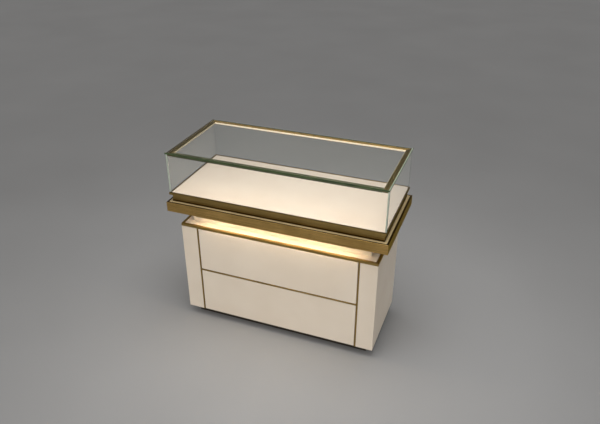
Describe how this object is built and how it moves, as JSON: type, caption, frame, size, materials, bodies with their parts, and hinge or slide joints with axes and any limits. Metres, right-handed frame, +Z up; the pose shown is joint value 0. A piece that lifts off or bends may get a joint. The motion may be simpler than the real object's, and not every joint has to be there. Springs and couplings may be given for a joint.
{
  "type": "display table with drawers",
  "caption": "Shop display table: cream cabinet with brass-lined press-to-open drawers, lit neck, brass-edged deck and a glass case whose floor slides out at the back.",
  "frame": {"origin": "on the floor under the middle of the table", "axes": "+X along the table's length to the viewer's right, +Y from the drawer side to the staff side, +Z up"},
  "size_m": [1.1, 0.494, 0.95],
  "materials": {
    "cream_lacquer": "satin cream lacquer on board",
    "brushed_brass": "brushed antique brass",
    "black_plinth": "matt black board",
    "drawer_wood": "clear lacquered birch ply",
    "zinc_steel": "zinc plated sheet",
    "light_channel": "champagne anodised",
    "opal_diffuser": "opal, lit warm white",
    "clear_glass": "clear float glass with polished green edges",
    "inlet_plastic": "black",
    "driver_case": "white"
  },
  "bodies": {
    "table": {"plinth_frame": "black_plinth", "bottom_panel": "cream_lacquer", "back_panel": "cream_lacquer", "side_panel_left": "cream_lacquer", "side_panel_right": "cream_lacquer", "partition_left": "cream_lacquer", "partition_right": "cream_lacquer", "front_stile_left": "cream_lacquer", "front_stile_right": "cream_lacquer", "drawer_divider": "cream_lacquer", "cabinet_top": "cream_lacquer", "brass_rim": "brushed_brass", "brass_strip_left": "brushed_brass", "brass_strip_right": "brushed_brass", "brass_strip_middle": "brushed_brass", "upper_drawer_runner_left_fixed": "zinc_steel", "upper_drawer_runner_right_fixed": "zinc_steel", "lower_drawer_runner_left_fixed": "zinc_steel", "lower_drawer_runner_right_fixed": "zinc_steel", "neck_riser": "cream_lacquer", "power_inlet": "inlet_plastic", "led_driver": "driver_case", "neck_light_channel": "light_channel", "neck_light_diffuser": "opal_diffuser", "deck_board": "cream_lacquer", "deck_trim": "brushed_brass", "case_riser": "brushed_brass", "glass_sill": "brushed_brass", "glass_front": "clear_glass", "glass_left": "clear_glass", "glass_right": "clear_glass", "glass_top": "clear_glass", "top_frame": "brushed_brass", "case_light_channel": "light_channel", "case_light_diffuser": "opal_diffuser", "tray_runner_left_fixed": "zinc_steel", "tray_runner_right_fixed": "zinc_steel"},
    "upper_drawer": {"upper_drawer_front": "cream_lacquer", "upper_drawer_side_left": "drawer_wood", "upper_drawer_side_right": "drawer_wood", "upper_drawer_back": "drawer_wood", "upper_drawer_bottom": "drawer_wood", "upper_drawer_runner_left_sliding": "zinc_steel", "upper_drawer_runner_right_sliding": "zinc_steel"},
    "upper_middle_runners": {"upper_drawer_runner_left_middle": "zinc_steel", "upper_drawer_runner_right_middle": "zinc_steel"},
    "lower_drawer": {"lower_drawer_front": "cream_lacquer", "lower_drawer_side_left": "drawer_wood", "lower_drawer_side_right": "drawer_wood", "lower_drawer_back": "drawer_wood", "lower_drawer_bottom": "drawer_wood", "lower_drawer_runner_left_sliding": "zinc_steel", "lower_drawer_runner_right_sliding": "zinc_steel"},
    "lower_middle_runners": {"lower_drawer_runner_left_middle": "zinc_steel", "lower_drawer_runner_right_middle": "zinc_steel"},
    "display_tray": {"display_board": "cream_lacquer", "tray_fascia": "brushed_brass", "glass_rear": "clear_glass", "tray_runner_left_sliding": "zinc_steel", "tray_runner_right_sliding": "zinc_steel"}
  },
  "joints": [
    {"name": "upper_drawer_slide", "type": "slide", "parent": "table", "child": "upper_drawer", "axis": [0, -1, 0], "range_m": [-0.003, 0.33]},
    {"name": "upper_middle_slide", "type": "slide", "parent": "table", "child": "upper_middle_runners", "axis": [0, -1, 0], "range_m": [-0.002, 0.166]},
    {"name": "lower_drawer_slide", "type": "slide", "parent": "table", "child": "lower_drawer", "axis": [0, -1, 0], "range_m": [-0.003, 0.33]},
    {"name": "lower_middle_slide", "type": "slide", "parent": "table", "child": "lower_middle_runners", "axis": [0, -1, 0], "range_m": [-0.002, 0.166]},
    {"name": "display_tray_slide", "type": "slide", "parent": "table", "child": "display_tray", "axis": [0, 1, 0], "range_m": [0, 0.28]}
  ],
  "couplings": [
    {"joint": "upper_middle_slide", "follows": "upper_drawer_slide", "ratio": 0.5},
    {"joint": "lower_middle_slide", "follows": "lower_drawer_slide", "ratio": 0.5}
  ]
}
